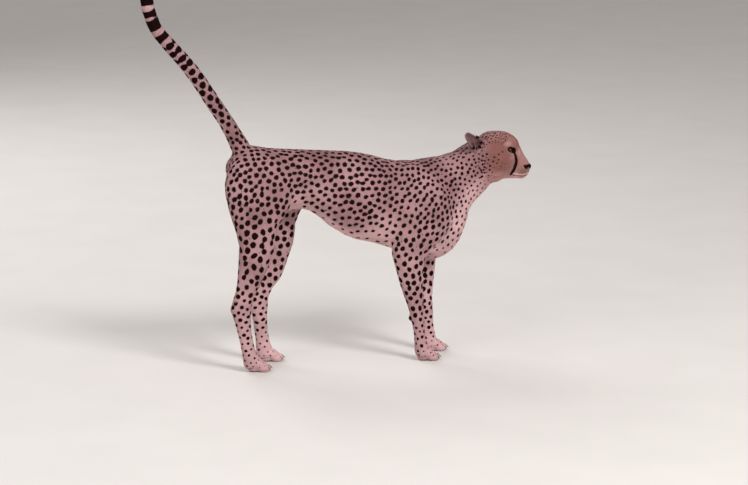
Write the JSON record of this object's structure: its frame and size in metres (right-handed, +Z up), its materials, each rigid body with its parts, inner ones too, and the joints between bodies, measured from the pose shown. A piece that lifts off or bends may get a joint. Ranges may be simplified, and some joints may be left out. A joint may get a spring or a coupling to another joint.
{
  "type": "cheetah figure",
  "caption": "Life-size standing cheetah with its tail raised high, spotted coat, small head turned slightly to its right, and long slender legs on small flat pads.",
  "frame": {"origin": "middle of the underside of the whole animal's box, on the floor under its paws", "axes": "+X towards the head, +Y towards the animal's left side, +Z up"},
  "size_m": [1.514, 0.26, 1.5297],
  "materials": {
    "coat": "short spotted fur",
    "face_coat": "very short fur with black tear lines",
    "tail_coat": "fur with spots that merge into rings",
    "paw_coat": "very short pale fur",
    "eye": "dark glossy"
  },
  "bodies": {
    "root": {"ear_left": "face_coat", "ear_right": "face_coat", "eye_left": "eye", "eye_right": "eye", "forearm_left": "coat", "forearm_right": "coat", "forepaw_left": "paw_coat", "forepaw_right": "paw_coat", "head": "face_coat", "hindpaw_left": "paw_coat", "hindpaw_right": "paw_coat", "metatarsus_left": "coat", "metatarsus_right": "coat", "neck": "coat", "shank_left": "coat", "shank_right": "coat", "shoulder_left": "coat", "shoulder_right": "coat", "tail_base": "tail_coat", "tail_middle": "tail_coat", "tail_tip": "tail_coat", "thigh_left": "coat", "thigh_right": "coat", "trunk": "coat"}
  },
  "joints": []
}
